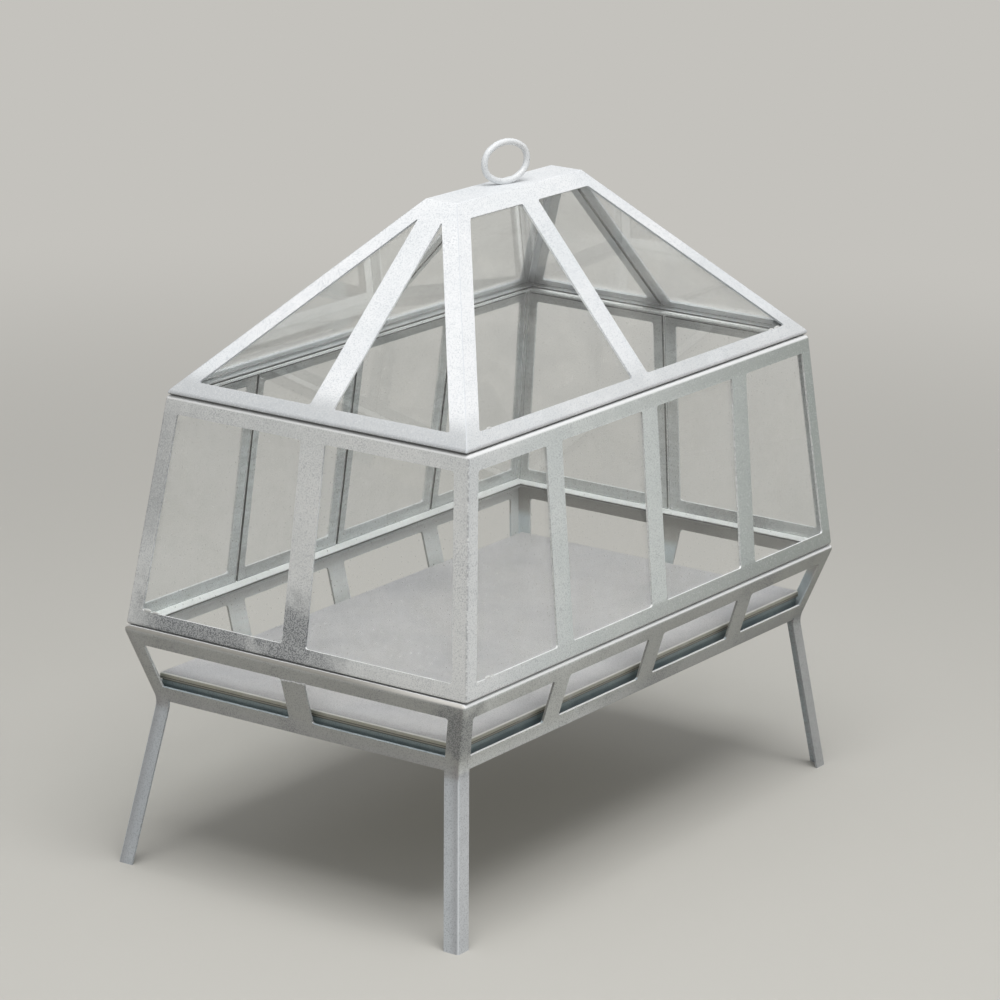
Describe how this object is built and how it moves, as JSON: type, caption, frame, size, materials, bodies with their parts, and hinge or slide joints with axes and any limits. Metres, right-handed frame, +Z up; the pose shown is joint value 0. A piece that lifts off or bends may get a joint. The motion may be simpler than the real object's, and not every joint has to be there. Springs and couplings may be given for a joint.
{
  "type": "glass plant case on legs",
  "caption": "Small glazed greenhouse on splayed legs: tapered glass walls and a hipped glass lid with a ring handle, lifted off a stand with a tray.",
  "frame": {"origin": "on the ground, under the middle of the stand", "axes": "+X along the long side to the right, +Y from the front to the back, +Z up"},
  "size_m": [0.641, 0.3732, 0.6446],
  "materials": {
    "stand_paint": "aged matt paint over zinc",
    "walls_paint": "aged matt paint over zinc",
    "lid_paint": "aged matt paint over zinc",
    "tray_paint": "matt",
    "glass": "clear"
  },
  "bodies": {
    "base": {"leg_front_left": "stand_paint", "leg_front_right": "stand_paint", "leg_back_left": "stand_paint", "leg_back_right": "stand_paint", "base_top_rails_long": "stand_paint", "base_top_rails_short": "stand_paint", "base_low_rails_long": "stand_paint", "base_low_rails_short": "stand_paint", "skirt_bars_long": "stand_paint", "skirt_bars_short": "stand_paint", "tray_bearers_long": "stand_paint", "tray_bearers_short": "stand_paint", "tray": "tray_paint"},
    "walls": {"post_front_left": "walls_paint", "post_front_right": "walls_paint", "post_back_left": "walls_paint", "post_back_right": "walls_paint", "walls_top_rails_long": "walls_paint", "walls_top_rails_short": "walls_paint", "walls_low_rails_long": "walls_paint", "walls_low_rails_short": "walls_paint", "walls_bars_long": "walls_paint", "walls_bars_short": "walls_paint", "walls_glass_front": "glass", "walls_glass_back": "glass", "walls_glass_left": "glass", "walls_glass_right": "glass"},
    "lid": {"hip_front_left": "lid_paint", "hip_front_right": "lid_paint", "hip_back_left": "lid_paint", "hip_back_right": "lid_paint", "lid_rails_long": "lid_paint", "lid_rails_short": "lid_paint", "lid_bars_long": "lid_paint", "lid_bars_short": "lid_paint", "ridge_plate": "lid_paint", "ring_handle": "lid_paint", "lid_glass_front": "glass", "lid_glass_back": "glass", "lid_glass_left": "glass", "lid_glass_right": "glass"}
  },
  "joints": [
    {"name": "walls_lift", "type": "slide", "parent": "base", "child": "walls", "axis": [0, 0, 1], "range_m": [0, 0.25]},
    {"name": "lid_lift", "type": "slide", "parent": "walls", "child": "lid", "axis": [0, 0, 1], "range_m": [0, 0.25]}
  ]
}
